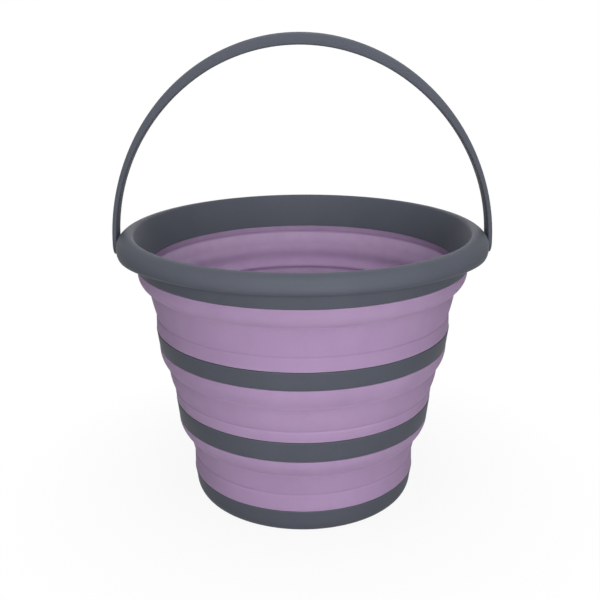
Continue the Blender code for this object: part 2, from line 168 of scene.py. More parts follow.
def slate(name, drift):
    """Slate plastic: fine moulded grain, faint mottle, and paler, smoother edges where it rubs.

    The drift moves the pattern, so that no two pieces have the same.
    """
    finish, shader, draw = new_finish(name, SLATE_ROUGHNESS, SLATE_SPECULAR)
    seat = draw.node("TexCoord", output=3)
    place = draw.node("VectorMath", {"operation": "ADD"}, {0: seat, 1: (drift, drift, drift)})
    mottle = draw.cloud(place, *SLATE_MOTTLE)
    grain = draw.cloud(place, *SLATE_GRAIN)
    ripple = draw.cloud(place, *SLATE_RIPPLE)
    wear_and_painted_light = draw.node("Attribute", {"attribute_name": "wear_and_painted_light"}, output=2)
    rubbed = wear_and_painted_light.clamped() * draw.cloud(place, *SLATE_PATCHES).clamped(*SLATE_PATCH_RANGE)
    tone = mottle * SLATE_MOTTLE_SHARE + grain * SLATE_GRAIN_SHARE - SLATE_DARKER
    plain = tone.clamped().mix(SLATE_DARK, SLATE_LIGHT)
    colour = (rubbed * SLATE_WORN_SHARE).mix(plain, SLATE_WORN)
    roughness = (
        SLATE_ROUGHNESS
        - SLATE_SMOOTHER
        + mottle * SLATE_MOTTLE_ROUGHNESS
        + grain * SLATE_GRAIN_ROUGHNESS
        - rubbed * SLATE_RUBBED_SMOOTH
    )
    height = grain * SLATE_GRAIN_HEIGHT + ripple * SLATE_RIPPLE_HEIGHT
    bump = draw.node("Bump", values={"Height": height, **SLATE_BUMP})
    feed(shader, Base_Color=colour, Roughness=roughness, Normal=bump)
    return finish


def arc(centre, semi_axes, start, end, steps=ARC_STEPS):
    """Plain points of a section on an ellipse, between two angles in degrees."""
    angles = [math.radians(start + (end - start) * k / steps) for k in range(steps + 1)]
    return [
        (centre[0] + semi_axes[0] * math.cos(a), centre[1] + semi_axes[1] * math.sin(a), 0)
        for a in angles
    ]


def eased(corners):
    """Rounds the corners of a closed section of (radius, height, ease) and sometimes a share.

    Each point that comes back is (radius, height, share). The share is up to 1 on an outer
    corner and down to -1 in an inner one, times what was given: on slate it is wear, and on
    lilac painted light above 0 and painted shade below 0. A plain point, of no ease,
    keeps its own.
    """
    count = len(corners)
    area = sum(
        corners[k - 1][0] * corners[k][1] - corners[k][0] * corners[k - 1][1] for k in range(count)
    )
    section = []
    for k, (radius, height, ease, *given) in enumerate(corners):
        here = Vector((radius, height))
        if not ease:
            section.append((radius, height, *(given or [0])))
            continue
        back = Vector(corners[k - 1][:2]) - here
        on = Vector(corners[(k + 1) % count][:2]) - here
        side = math.copysign(1, (on.x * back.y - on.y * back.x) * area)
        first = here + back.normalized() * min(ease, back.length * EASE_SHARE)
        last = here + on.normalized() * min(ease, on.length * EASE_SHARE)
        for step in range(EASE_STEPS + 1):
            t = step / EASE_STEPS
            point = first * (1 - t) ** 2 + here * (2 * t * (1 - t)) + last * t**2
            section.append((point.x, point.y, side * 4 * t * (1 - t) * (given or [1])[0]))
    return section


def join_rings(bm, low, high, around):
    """Faces between two rings of vertices, either of which may be a single vertex."""
    for k in range(around):
        after = k + 1
        corners = (low[k % len(low)], low[after % len(low)], high[after % len(high)])
        bm.faces.new(dict.fromkeys((*corners, high[k % len(high)])))


def turned(name, section, around=AROUND):
    """Turns a closed section round the bucket's axis into one smooth closed mesh."""
    bm = bmesh.new()
    # Each vertex keeps a share: edge wear on slate, and on lilac painted light above 0 and painted
    # shade below 0.
    wear_and_painted_light = bm.verts.layers.float.new("wear_and_painted_light")
    rings = []
    for radius, height, share in section:
        turns = range(around) if radius else (0,)
        angles = [math.tau * k / around for k in turns]
        ring = [bm.verts.new((radius * math.cos(a), radius * math.sin(a), height)) for a in angles]
        for vert in ring:
            vert[wear_and_painted_light] = share
        rings.append(ring)
    for low, high in zip(rings, rings[1:] + rings[:1]):
        if len(low) > 1 or len(high) > 1:
            join_rings(bm, low, high, around)
    return finished(name, bm)


def finished(name, bm):
    """A piece from its bmesh, smooth apart from its sharp corners."""
    bmesh.ops.recalc_face_normals(bm, faces=bm.faces)
    mesh = bpy.data.meshes.new(name)
    bm.to_mesh(mesh)
    bm.free()
    mesh.shade_smooth()
    mesh.set_sharp_from_angle(angle=math.radians(SHARP_TURN))
    piece = bpy.data.objects.new(name, mesh)
    bpy.context.scene.collection.objects.link(piece)
    return piece


def fit(piece, finish, slot, *nodes):
    """Gives a piece its finish and puts it in the place of its nodes."""
    piece.data.materials.append(finish)
    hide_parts(*nodes)


base_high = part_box("base_cup")[1]
BASE_RADIUS = base_high.x + STIFF_PROUD
BASE_TOP = base_high.z + EDGE_LIFT
side_radius = BASE_RADIUS - BASE_TAPER
edge_centre = (side_radius - BASE_ROUND_WIDTH, BASE_ROUND_HEIGHT)
floor_level = FOOT_HEIGHT + FLOOR_THICKNESS
foot_radius = edge_centre[0] - FOOT_WIDTH
inside_round = (BASE_ROUND_WIDTH - BASE_WALL, BASE_ROUND_HEIGHT - floor_level)
base_cup = turned("base_cup", eased([
    (0, floor_level + FLOOR_RISE, 0),
    *arc(edge_centre, inside_round, -90, 0),
    (BASE_RADIUS - BASE_WALL, BASE_TOP, STIFF_EDGE),
    (BASE_RADIUS, BASE_TOP, STIFF_EDGE),
    *arc(edge_centre, (BASE_ROUND_WIDTH, BASE_ROUND_HEIGHT), 0, -90, BASE_ROUND_STEPS),
    (foot_radius, 0, STIFF_EDGE),
    (foot_radius - FOOT_HEIGHT, FOOT_HEIGHT, STIFF_EDGE),
    (GATE_FOOT_RADIUS, FOOT_HEIGHT, STIFF_EDGE),
    (GATE_RADIUS, FOOT_HEIGHT - GATE_HEIGHT, STIFF_EDGE),
    (0, FOOT_HEIGHT - GATE_HEIGHT, 0),
]))
fit(base_cup, slate("base_slate", drift=0.0), "slate_plastic", "base_cup")
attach(base_cup, "base")


# Lowest soft section: lilac rubber, moulded down inside the base cup and over its edge, then up
# as a plain hem and a thin wall. The wall turns inside out when the bucket is pushed flat.
LILAC_DARK = (0.365, 0.246, 0.410, 1)
LILAC_LIGHT = (0.468, 0.335, 0.522, 1)
# Painted shade: a darker lilac for creases, inner corners and the tops of walls under lips.
LILAC_PAINTED_SHADE = (0.265, 0.170, 0.300, 1)
# Painted light: a paler lilac for painted highlights on lips and painted light inside.
LILAC_PAINTED_LIGHT = (0.540, 0.398, 0.590, 1)
LILAC_TRANSLUCENCE = 0.5
LILAC_SCATTER = 0.004
LILAC_SCATTER_COLOUR = (0.9, 0.75, 1.0)
LILAC_SPECULAR = 0.08
LILAC_ROUGHNESS = 0.62
LILAC_SMOOTHER = 0.05
LILAC_CLOUDING_ROUGHNESS = 0.08
LILAC_GRAIN_ROUGHNESS = 0.05
LILAC_PAINTED_SHADE_ROUGHNESS = 0.15
LILAC_CLOUDING = (14, 4.0)
LILAC_GRAIN = (1100, 1.0)
LILAC_FLOW = (1, 3.0)
LILAC_FLOW_WAVES = (60, 60, 14)
LILAC_PATCHES = (60, 3.0)
LILAC_PATCH_RANGE = (0.3, 0.7)
LILAC_PATCH_LIFT = 0.3
LILAC_CLOUDING_SHARE = 0.7
LILAC_FLOW_SHARE = 0.3
LILAC_GRAIN_SHARE = 0.3
LILAC_DARKER = 0.15
# How strongly the painted light and the painted shade show.
LILAC_PAINTED_LIGHT_SHARE = 0.6
LILAC_PAINTED_SHADE_SHARE = 0.35
LILAC_GRAIN_HEIGHT = 0.6
LILAC_FLOW_HEIGHT = 0.4
LILAC_BUMP = {"Strength": 0.2, "Distance": 0.0003}
# Painted light on the inside of the walls and hems, and the most painted light a point gets.
INSIDE_PAINTED_LIGHT = 1
INSIDE_HEM_PAINTED_LIGHT = 1.8
MOST_PAINTED_LIGHT = 2
SOFT_WALL = 0.0018
SOFT_EASE = 0.0007
HEM_TUCK = 0.0005
HEM_TAPER = 0.0003
HEM_STEP = 0.0006
HEM_STEP_HEIGHT = 0.0018
# Painted highlight along the hem's top edge.
HEM_PAINTED_HIGHLIGHT = 0.15
INNER_STEP_RISE = 0.0022
WALL_ROUNDNESS = 1.4
INNER_SWELL = 0.0011
FOLD_STEPS = 14
CREASE_DEPTH = 0.0006
# Painted shade on a wall's top under the crease above it, and how fast it fades downwards.
CREASE_PAINTED_SHADE = 0.7
PAINTED_SHADE_SHARPNESS = 4
CREASE_OVERLAP = 0.0003
LIP_SINK = 0.0012
LOWER_HEM_HEIGHT = 0.0131
SOFT_WAVER = 0.00022
SOFT_WAVES = 22
SOFT_UPRIGHT_WAVES = 30
CREASE_WAVER = 0.0005
CREASE_WAVES = 16
CREASE_REACH = 0.006


def lilac(name, drift):
    """Lilac rubber: matt, faintly clouded, with painted shade in creases and under lips,
    painted highlights on lips, and painted light inside.

    It is streaked upwards a little, as it flowed in the mould. The drift moves the pattern.
    """
    finish, shader, draw = new_finish(name, LILAC_ROUGHNESS, LILAC_SPECULAR)
    shader.inputs["Subsurface Weight"].default_value = LILAC_TRANSLUCENCE
    shader.inputs["Subsurface Scale"].default_value = LILAC_SCATTER
    shader.inputs["Subsurface Radius"].default_value = LILAC_SCATTER_COLOUR
    seat = draw.node("TexCoord", output=3)
    place = draw.node("VectorMath", {"operation": "ADD"}, {0: seat, 1: (drift, drift, drift)})
    clouding = draw.cloud(place, *LILAC_CLOUDING)
    grain = draw.cloud(place, *LILAC_GRAIN)
    streaked = draw.node("VectorMath", {"operation": "MULTIPLY"}, {0: place, 1: LILAC_FLOW_WAVES})
    flow = draw.cloud(streaked, *LILAC_FLOW)
    wear_and_painted_light = draw.node("Attribute", {"attribute_name": "wear_and_painted_light"}, output=2)
    patchy = draw.cloud(place, *LILAC_PATCHES).clamped(*LILAC_PATCH_RANGE) + LILAC_PATCH_LIFT
    # Painted highlights on lips and painted light inside, patchy.
    painted_light = wear_and_painted_light.clamped(0, MOST_PAINTED_LIGHT) * patchy
    # Painted shade in creases, inner corners and under lips, patchy, and rougher there.
    painted_shade = (0 - wear_and_painted_light).clamped() * patchy
    tone = clouding * LILAC_CLOUDING_SHARE + flow * LILAC_FLOW_SHARE + grain * LILAC_GRAIN_SHARE
    plain = (tone - LILAC_DARKER).clamped().mix(LILAC_DARK, LILAC_LIGHT)
    with_painted_light = (painted_light * LILAC_PAINTED_LIGHT_SHARE).mix(plain, LILAC_PAINTED_LIGHT)
    colour = (painted_shade * LILAC_PAINTED_SHADE_SHARE).mix(with_painted_light, LILAC_PAINTED_SHADE)
    roughness = (
        LILAC_ROUGHNESS
        - LILAC_SMOOTHER
        + clouding * LILAC_CLOUDING_ROUGHNESS
        + grain * LILAC_GRAIN_ROUGHNESS
        + painted_shade * LILAC_PAINTED_SHADE_ROUGHNESS
    )
    height = grain * LILAC_GRAIN_HEIGHT + flow * LILAC_FLOW_HEIGHT
    bump = draw.node("Bump", values={"Height": height, **LILAC_BUMP})
    feed(shader, Base_Color=colour, Roughness=roughness, Normal=bump)
    return finish


def fold(foot, head, roundness, crease_shade=0):
    """Points up a soft wall that leans out at its foot and stands upright at its head.

    Painted shade darkens it towards the head, under the crease above it, by the share given.
    """
    shares = [step / FOLD_STEPS for step in range(1, FOLD_STEPS + 1)]
    return [
        (
            head[0] - (head[0] - foot[0]) * (1 - share) ** roundness,
            foot[1] + (head[1] - foot[1]) * share,
            0,
            -crease_shade * share**PAINTED_SHADE_SHARPNESS,
        )
        for share in shares
    ]


def wall_section(hem_radius, foot_level, hem_height, lip_radius, lip_level, roundness):
    """Corners of a hem and wall: the outer ones upwards and the inner ones down.

    The inside swells in and out once, where the rubber is thicker and thinner.
    """
    hem_top = foot_level + hem_height
    wall_foot = (hem_radius - HEM_STEP, hem_top + HEM_STEP_HEIGHT)
    crease = (lip_radius - CREASE_DEPTH, lip_level + CREASE_OVERLAP)
    # The hem's top edge gets a painted highlight, the wall's top painted shade under the crease,
    # and the inner wall and hem painted light.
    outer = [
        (hem_radius, hem_top, SOFT_EASE, HEM_PAINTED_HIGHLIGHT),
        (*wall_foot, SOFT_EASE),
        *fold(wall_foot, crease, roundness, CREASE_PAINTED_SHADE),
    ]
    inner_foot = (wall_foot[0] - SOFT_WALL, wall_foot[1] + INNER_STEP_RISE)
    inner_wall = fold(inner_foot, (crease[0] - SOFT_WALL, crease[1]), roundness)
    swollen = [
        (
            point[0] + INNER_SWELL * math.sin(math.tau * step / FOLD_STEPS),
            point[1],
            0,
            INSIDE_PAINTED_LIGHT,
        )
        for step, point in enumerate(inner_wall, 1)
    ]
    inner = [
        *reversed(swollen),
        (*inner_foot, SOFT_EASE),
        (hem_radius - SOFT_WALL, hem_top + INNER_STEP_RISE, SOFT_EASE, 0),
        (hem_radius - SOFT_WALL, hem_top, 0, INSIDE_HEM_PAINTED_LIGHT),
    ]
    return outer, inner


def soften(piece, drift, creases):
    """Lets a moulded soft wall waver a little, most in the height of its creases."""
    for vert in piece.data.vertices:
        x, y, z = vert.co
        radius = math.hypot(x, y)
        place = Vector((x * SOFT_WAVES, y * SOFT_WAVES, z * SOFT_UPRIGHT_WAVES + drift))
        out = noise.noise(place) * SOFT_WAVER
        vert.co.x += x / radius * out
        vert.co.y += y / radius * out
        near = max(0.0, 1 - min(abs(z - level) for level in creases) / CREASE_REACH)
        place = Vector((x * CREASE_WAVES, y * CREASE_WAVES, drift))
        vert.co.z += noise.noise(place) * CREASE_WAVER * near


lower_wall_low, lower_wall_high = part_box("lower_wall")
base_hem_low, base_hem_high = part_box("base_hem")
lower_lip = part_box("lower_sleeve")[0].z - LIP_SINK
lower_lip_radius = lower_wall_high.x
hem_foot = base_hem_high.x - HEM_TUCK
hem_inner = BASE_RADIUS - BASE_WALL - SOFT_WALL
outer, inner = wall_section(
    hem_foot - HEM_TAPER,
    base_hem_high.z,
    LOWER_HEM_HEIGHT,
    lower_lip_radius,
    lower_lip,
    WALL_ROUNDNESS,
)
lower_soft = turned("lower_soft", eased([
    (hem_foot, BASE_TOP, SOFT_EASE),
    *outer,
    *inner,
    (hem_inner, base_hem_high.z, SOFT_EASE),
    (hem_inner, base_hem_low.z, SOFT_EASE),
    (BASE_RADIUS - BASE_WALL, base_hem_low.z, 0),
    (BASE_RADIUS - BASE_WALL, BASE_TOP, 0),
]))
soften(lower_soft, drift=3.1, creases=[base_hem_high.z + LOWER_HEM_HEIGHT])
fit(lower_soft, lilac("lower_lilac", drift=0.0), "lilac_rubber", "base_hem", "lower_wall")
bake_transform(lower_soft)


# Lower ring: a stiff slate band in the pocket of a soft sleeve. The sleeve's lip and rounded fold
# stand below the band, its liner runs behind, and it goes on over the top as the middle wall.
BAND_WALL = 0.0025
SEAT_GAP = 0.0003
LIP_REACH = 0.0003
LIP_HEIGHT = 0.0006
# Painted highlight along a lip's top edge.
LIP_PAINTED_HIGHLIGHT = 0.45
BAND_FLARE = 0.0018
LOWER_FOLD_ROUNDNESS = 2.0
MIDDLE_HEM_HEIGHT = 0.0070
MIDDLE_HEM_FLARE = 0.0010
MIDDLE_WALL_ROUNDNESS = 2.2


def lip_section(lip_radius, lip_level):
    """The lip at the foot of a fold: its outer corners upwards, its inner ones down."""
    crease = lip_radius - CREASE_DEPTH
    lip = lip_radius + LIP_REACH
    seam = lip_level - CREASE_OVERLAP
    edge = lip_level + CREASE_OVERLAP
    # The crease gets painted shade and the lip's top edge a painted highlight.
    outer = [(crease, seam, 0, -1), (lip, edge, 0), (lip, edge + LIP_HEIGHT, 0, LIP_PAINTED_HIGHLIGHT)]
    inner = [(lip - SOFT_WALL, edge + LIP_HEIGHT, 0), (crease - SOFT_WALL, seam, 0)]
    return outer, inner


def ring_section(
    sleeve, band, wall, lip_radius, roundness, hem_flare, hem_height, next_lip, wall_roundness
):
    """The whole soft section that carries a band: its lip, fold, pocket, hem and wall."""
    sleeve_low, sleeve_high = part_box(sleeve)
    band_low, band_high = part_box(band)
    top_radius = band_high.x
    low_radius = top_radius - BAND_FLARE
    hem_radius = sleeve_high.x - HEM_TUCK
    pocket = BAND_WALL + SEAT_GAP
    liner = pocket + SOFT_WALL
    lip, lip_inner = lip_section(lip_radius, sleeve_low.z - LIP_SINK)
    foot = lip[-1]
    inner_foot = (foot[0], foot[1] + SOFT_WALL)
    fold_head = band_low.z + EDGE_LIFT - SEAT_GAP
    wall_outer, wall_inner = wall_section(
        hem_radius + hem_flare,
        sleeve_high.z,
        hem_height,
        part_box(wall)[1].x,
        next_lip,
        wall_roundness,
    )
    return eased([
        *lip,
        *fold(foot, (low_radius, fold_head), roundness),
        (low_radius - pocket, fold_head, 0),
        (top_radius - pocket, band_high.z + SEAT_GAP, 0),
        (hem_radius, band_high.z + SEAT_GAP, SOFT_EASE),
        *wall_outer,
        *wall_inner,
        (top_radius - liner, sleeve_high.z, SOFT_EASE),
        *reversed(fold(inner_foot, (low_radius - liner, band_low.z), roundness)),
        *lip_inner,
    ])


def band_section(node):
    """A stiff band with eased edges, flared a little to its top."""
    low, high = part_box(node)
    low_radius = high.x - BAND_FLARE
    foot = low.z + EDGE_LIFT
    return eased([
        (low_radius, foot, STIFF_EDGE),
        (high.x + STIFF_PROUD, high.z, STIFF_EDGE),
        (high.x - BAND_WALL, high.z, STIFF_EDGE),
        (low_radius - BAND_WALL, foot, STIFF_EDGE),
    ])


middle_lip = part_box("middle_sleeve")[0].z - LIP_SINK
lower_band = turned("lower_band", band_section("lower_band"))
fit(lower_band, slate("lower_band_slate", drift=1.7), "slate_plastic", "lower_band")
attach(lower_band, "lower_ring")
middle_soft = turned("middle_soft", ring_section(
    "lower_sleeve",
    "lower_band",
    "middle_wall",
    lower_lip_radius,
    LOWER_FOLD_ROUNDNESS,
    MIDDLE_HEM_FLARE,
    MIDDLE_HEM_HEIGHT,
    middle_lip,
    MIDDLE_WALL_ROUNDNESS,
))
middle_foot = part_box("lower_sleeve")[1].z
soften(middle_soft, drift=7.4, creases=[middle_foot + MIDDLE_HEM_HEIGHT, lower_lip])
fit(middle_soft, lilac("middle_lilac", drift=2.3), "lilac_rubber", "lower_sleeve", "middle_wall")
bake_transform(middle_soft)


# Middle ring: the wider slate band and its soft sleeve, made as the lower ring is. The sleeve goes
# on over the band's top as the upper wall, which carries the rim.
MIDDLE_FOLD_ROUNDNESS = 2.4
UPPER_HEM_HEIGHT = 0.0091
upper_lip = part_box("upper_sleeve")[0].z - LIP_SINK
middle_lip_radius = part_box("middle_wall")[1].x
middle_band = turned("middle_band", band_section("middle_band"))
fit(middle_band, slate("middle_band_slate", drift=3.9), "slate_plastic", "middle_band")
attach(middle_band, "middle_ring")
upper_soft = turned("upper_soft", ring_section(
    "middle_sleeve",
    "middle_band",
    "upper_wall",
    middle_lip_radius,
    MIDDLE_FOLD_ROUNDNESS,
    -HEM_TAPER,
    UPPER_HEM_HEIGHT,
    upper_lip,
    WALL_ROUNDNESS,
))
upper_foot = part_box("middle_sleeve")[1].z
soften(upper_soft, drift=11.9, creases=[upper_foot + UPPER_HEM_HEIGHT, middle_lip])
fit(upper_soft, lilac("upper_lilac", drift=4.1), "lilac_rubber", "middle_sleeve", "upper_wall")
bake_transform(upper_soft)


# Rim: one stiff slate moulding. Its rolled edge is open underneath and dips into a lug at each end
# of the handle, its skirt has the groove that grips the soft body, and two bosses take the pins.
SKIRT_DEPTH = 0.010
ROLL_REACH = 0.0127
RIM_WALL = 0.0025
FACE_WALL = 0.0027
CROWN_DROP = 0.0115
CROWN_STEPS = 16
MOUTH_ROUND = 0.0032
MOUTH_TURN = 158
ROLL_DROP = 0.0037
ROLL_TUCK = 0.004
ROLL_TUCK_TURN = 75
LUG_DROP = 0.0065
LUG_SHARPNESS = 7
TONGUE_HEIGHT = 0.0072
PIN_RADIUS = 0.0035
PIN_CLEARANCE = 0.0003
BOSS_WALL = 0.0022
PIVOT_ROUND = 48
RIM_AROUND = 192
rim_low, rim_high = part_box("rim")
pivot_low, pivot_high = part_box("right_pivot_pin")
pivot_level = (pivot_low.z + pivot_high.z) / 2
skirt_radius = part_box("upper_sleeve")[1].x
rim_inner = skirt_radius - SKIRT_DEPTH
face_back = rim_inner + FACE_WALL
groove_outer = skirt_radius - RIM_WALL
rim_outer = rim_high.y
crown_radius = rim_outer - ROLL_REACH
widest = rim_high.z - CROWN_DROP
mouth_centre = (crown_radius, rim_high.z - MOUTH_ROUND)
mouth = arc(mouth_centre, (MOUTH_ROUND, MOUTH_ROUND), 90, MOUTH_TURN)
face_lean = (mouth[-1][0] - rim_inner) / (mouth[-1][1] - rim_low.z)
groove_height = TONGUE_HEIGHT + SEAT_GAP
groove_top = rim_low.z + groove_height
tuck = arc((rim_outer - ROLL_TUCK, widest), (ROLL_TUCK, ROLL_DROP), -ROLL_TUCK_TURN, 0)
roof = arc((crown_radius, widest), (ROLL_REACH - RIM_WALL, CROWN_DROP - RIM_WALL), 90, 0)
dome = arc((crown_radius, widest), (ROLL_REACH, CROWN_DROP), 0, 90, CROWN_STEPS)
rim = turned("rim_moulding", eased([
    (rim_inner, rim_low.z, STIFF_EDGE),
    (face_back, rim_low.z, STIFF_EDGE),
    (face_back + face_lean * groove_height, groove_top, STIFF_EDGE),
    (groove_outer, groove_top, STIFF_EDGE),
    (groove_outer, rim_low.z, STIFF_EDGE),
    (skirt_radius, rim_low.z, STIFF_EDGE),
    (skirt_radius, rim_low.z + (skirt_radius - face_back) / face_lean, STIFF_EDGE),
    *roof,
    (tuck[0][0] - RIM_WALL, tuck[0][1], STIFF_EDGE),
    *tuck,
    *dome[1:],
    *mouth[1:],
]), RIM_AROUND)
for vert in rim.data.vertices:
    x, y, z = vert.co
    radius = math.hypot(x, y)
    if radius > crown_radius and z < widest:
        vert.co.z -= LUG_DROP * abs(x / radius) ** LUG_SHARPNESS * min(1, (widest - z) / ROLL_DROP)


def rod(name, profile, side, lean=0):
    """A round piece along the pivot line from (distance out, radius) points.

    The lean slants its inner end, for the boss that grows out of the rim's leaning face.
    """
    bm = bmesh.new()
    bm.verts.layers.float.new("wear_and_painted_light")
    rings = []
    for out, radius in profile:
        slant = lean if out == profile[0][0] else 0
        turns = range(PIVOT_ROUND) if radius else (0,)
        ring = []
        for k in turns:
            angle = math.tau * k / PIVOT_ROUND
            across, up = radius * math.cos(angle), radius * math.sin(angle)
            ring.append(bm.verts.new((side * (out + slant * up), across, pivot_level + up)))
        rings.append(ring)
    for low, high in zip(rings, rings[1:]):
        join_rings(bm, low, high, PIVOT_ROUND)
    return finished(name, bm)


def combine(piece, other, operation):
    """Joins a lump to a piece or cuts a hole in it, and keeps only the result."""
    change = piece.modifiers.new(operation, "BOOLEAN")
    change.operation = operation
    change.object = other
    bpy.context.view_layer.update()
    result = piece.evaluated_get(bpy.context.evaluated_depsgraph_get())
    mesh = bpy.data.meshes.new_from_object(result)
    mesh.set_sharp_from_angle(angle=math.radians(SHARP_TURN))
    piece.modifiers.clear()
    piece.data = mesh
    bpy.data.objects.remove(other)


hole_radius = PIN_RADIUS + PIN_CLEARANCE
boss_radius = hole_radius + BOSS_WALL
boss_start = rim_inner + face_lean * (pivot_level - rim_low.z) + FACE_WALL / 2
boss_end = rim_outer - RIM_WALL / 2
hole_start = pivot_low.x - PIN_CLEARANCE
hole_end = pivot_high.x + PIN_CLEARANCE
for side in (1, -1):
    boss = rod(
        "boss",
        [(boss_start, 0), (boss_start, boss_radius), (boss_end, boss_radius), (boss_end, 0)],
        side,
        face_lean,
    )
    combine(rim, boss, "UNION")
    hole = rod(
        "hole",
        [(hole_start, 0), (hole_start, hole_radius), (hole_end, hole_radius), (hole_end, 0)],
        side,
    )
    combine(rim, hole, "DIFFERENCE")
fit(rim, slate("rim_slate", drift=5.2), "slate_plastic", "rim")
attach(rim, "rim")


# Top fold of the soft body: a lip and a broad rounded shoulder under the rim. A tongue is moulded
# up into the groove of the rim's skirt, and a thick ring shows inside, under the rim's face.
UPPER_FOLD_ROUNDNESS = 3.2
RING_HEIGHT = 0.0060
# Painted light on the inside ring's face and on the slope below it.
RING_PAINTED_LIGHT = 1.5
SLOPE_START = 0.15
SLOPE_PAINTED_LIGHT = 1.9
RING_BULGE = 0.0018
RING_EASE = 0.0014
RING_FACE_SHARES = (0.15, 0.7)
upper_lip_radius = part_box("upper_wall")[1].x
fold_head = rim_low.z - SEAT_GAP
tongue_top = rim_low.z + TONGUE_HEIGHT
tongue_inner = face_back + SEAT_GAP * math.hypot(1, face_lean)
tongue_outer = groove_outer - SEAT_GAP
ring_radius = rim_inner + SEAT_GAP
lip, lip_inner = lip_section(upper_lip_radius, upper_lip)
crease_inner = Vector(lip_inner[-1][:2])
ring_head = Vector((ring_radius, fold_head))
ring_foot = Vector((ring_radius + RING_BULGE, fold_head - RING_HEIGHT))
upper_sleeve = turned("upper_sleeve_soft", eased([
    *lip,
    *fold(lip[-1], (skirt_radius, fold_head), UPPER_FOLD_ROUNDNESS),
    (tongue_outer, fold_head, 0),
    (tongue_outer, tongue_top, SOFT_EASE),
    (tongue_inner + face_lean * TONGUE_HEIGHT, tongue_top, SOFT_EASE),
    (tongue_inner, fold_head, 0),
    (*ring_head, SOFT_EASE),
    # The ring's face, the slope below it and the crease inside get painted light.
    *((*ring_head.lerp(ring_foot, share), 0, RING_PAINTED_LIGHT) for share in RING_FACE_SHARES),
    (*ring_foot, RING_EASE, 0),
    (*ring_foot.lerp(crease_inner, SLOPE_START), 0, SLOPE_PAINTED_LIGHT),
    (*crease_inner, 0, INSIDE_PAINTED_LIGHT),
]))
soften(upper_sleeve, drift=17.3, creases=[upper_lip])
fit(upper_sleeve, lilac("fold_lilac", drift=6.7), "lilac_rubber", "upper_sleeve")
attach(upper_sleeve, "rim")


# Pivot pins: two slate plastic pins pushed through the handle's ends and snapped into the rim's
# bosses. Each head sits flush in the strap, with a shallow dimple from its mould.
PIN_HEAD_RADIUS = 0.0056
PIN_HEAD_THICKNESS = 0.0013
PIN_TIP_EDGE = 0.0007
HEAD_EDGE = 0.0003
DIMPLE_RADIUS = 0.0022
DIMPLE_DEPTH = 0.0004
PIN_DRIFT = {"right": 8.0, "left": 6.0}
tip = pivot_low.x
face = pivot_high.x
shoulder = face - PIN_HEAD_THICKNESS
for name, side in (("right", 1), ("left", -1)):
    pin = rod(
        name + "_pin",
        [
            (tip, 0),
            (tip, PIN_RADIUS - PIN_TIP_EDGE),
            (tip + PIN_TIP_EDGE, PIN_RADIUS),
            (shoulder, PIN_RADIUS),
            (shoulder, PIN_HEAD_RADIUS),
            (face - HEAD_EDGE, PIN_HEAD_RADIUS),
            (face, PIN_HEAD_RADIUS - HEAD_EDGE),
            (face, DIMPLE_RADIUS),
            (face - DIMPLE_DEPTH, DIMPLE_RADIUS - DIMPLE_DEPTH),
            (face - DIMPLE_DEPTH, 0),
        ],
        side,
    )
    pin_slate = slate(name + "_pin_slate", PIN_DRIFT[name])
    fit(pin, pin_slate, "slate_plastic", name + "_pivot_pin")
    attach(pin, "rim")


# Bail handle: one stiff slate strap bent over the mouth, thin where it passes the rim and deeper
# at its crown, with rounded edges and half-round ends that swing on the pins. It has set a little
# to one side.
HANDLE_STEPS = 96
HANDLE_END_STEPS = 12
HANDLE_END_TURN = 84
HANDLE_END_THICKNESS = 0.0038
HANDLE_INNER_RISE = 0.0049
HANDLE_INNER_SHARPNESS = 4
HANDLE_OUTER_RISE = 0.0113
HANDLE_OUTER_SHARPNESS = 2.5
HANDLE_END_SPREAD = 0.0015
HANDLE_BEND = 0.0026
HANDLE_EDGE = 0.0016
HANDLE_EDGE_STEPS = 4
EDGE_WIDTH_SHARE = 0.6
EDGE_THICKNESS_SHARE = 0.42
handle_low, handle_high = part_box("handle")
handle_width = handle_high.y - handle_low.y
handle_inner = pivot_high.x - HANDLE_END_THICKNESS


def strap_section(near, far, half_width):
    """The strap's rounded section of (reach, across, wear share), from its inner to its outer face.
    """
    edge = min(HANDLE_EDGE, half_width * EDGE_WIDTH_SHARE, (far - near) * EDGE_THICKNESS_SHARE)
    section = []
    for reach, across, start in (
        (near + edge, half_width - edge, 90),
        (near + edge, edge - half_width, 180),
        (far - edge, edge - half_width, 270),
        (far - edge, half_width - edge, 0),
    ):
        for step in range(HANDLE_EDGE_STEPS + 1):
            turn = math.radians(start + 90 * step / HANDLE_EDGE_STEPS)
            share = 1 - abs(2 * step / HANDLE_EDGE_STEPS - 1)
            point = (reach + edge * math.cos(turn), across + edge * math.sin(turn), share)
            section.append(point)
    return section


def handle_stations():
    """Each station along the strap: its section and how to set a point of it in space."""
    for side in (1, -1):
        ends = []
        for step in range(HANDLE_END_STEPS):
            turn = math.radians(HANDLE_END_TURN * (1 - step / HANDLE_END_STEPS))
            end = handle_width / 2 + HANDLE_END_SPREAD
            drop = end * math.sin(turn)
            section = strap_section(
                handle_inner, handle_inner + HANDLE_END_THICKNESS, end * math.cos(turn)
            )
            ends.append([(side * r, y, pivot_level - drop, share) for r, y, share in section])
        if side == 1:
            yield from ends
            for step in range(HANDLE_STEPS + 1):
                turn = math.pi * step / HANDLE_STEPS
                height = abs(math.sin(turn))
                near = handle_inner + HANDLE_INNER_RISE * height**HANDLE_INNER_SHARPNESS
                far = handle_inner + HANDLE_END_THICKNESS
                far += HANDLE_OUTER_RISE * height**HANDLE_OUTER_SHARPNESS
                half = handle_width / 2 + HANDLE_END_SPREAD * (1 - height)
                bend = HANDLE_BEND * height**2
                yield [
                    (r * math.cos(turn) - bend, y, pivot_level + r * math.sin(turn), share)
                    for r, y, share in strap_section(near, far, half)
                ]
        else:
            yield from reversed(ends)


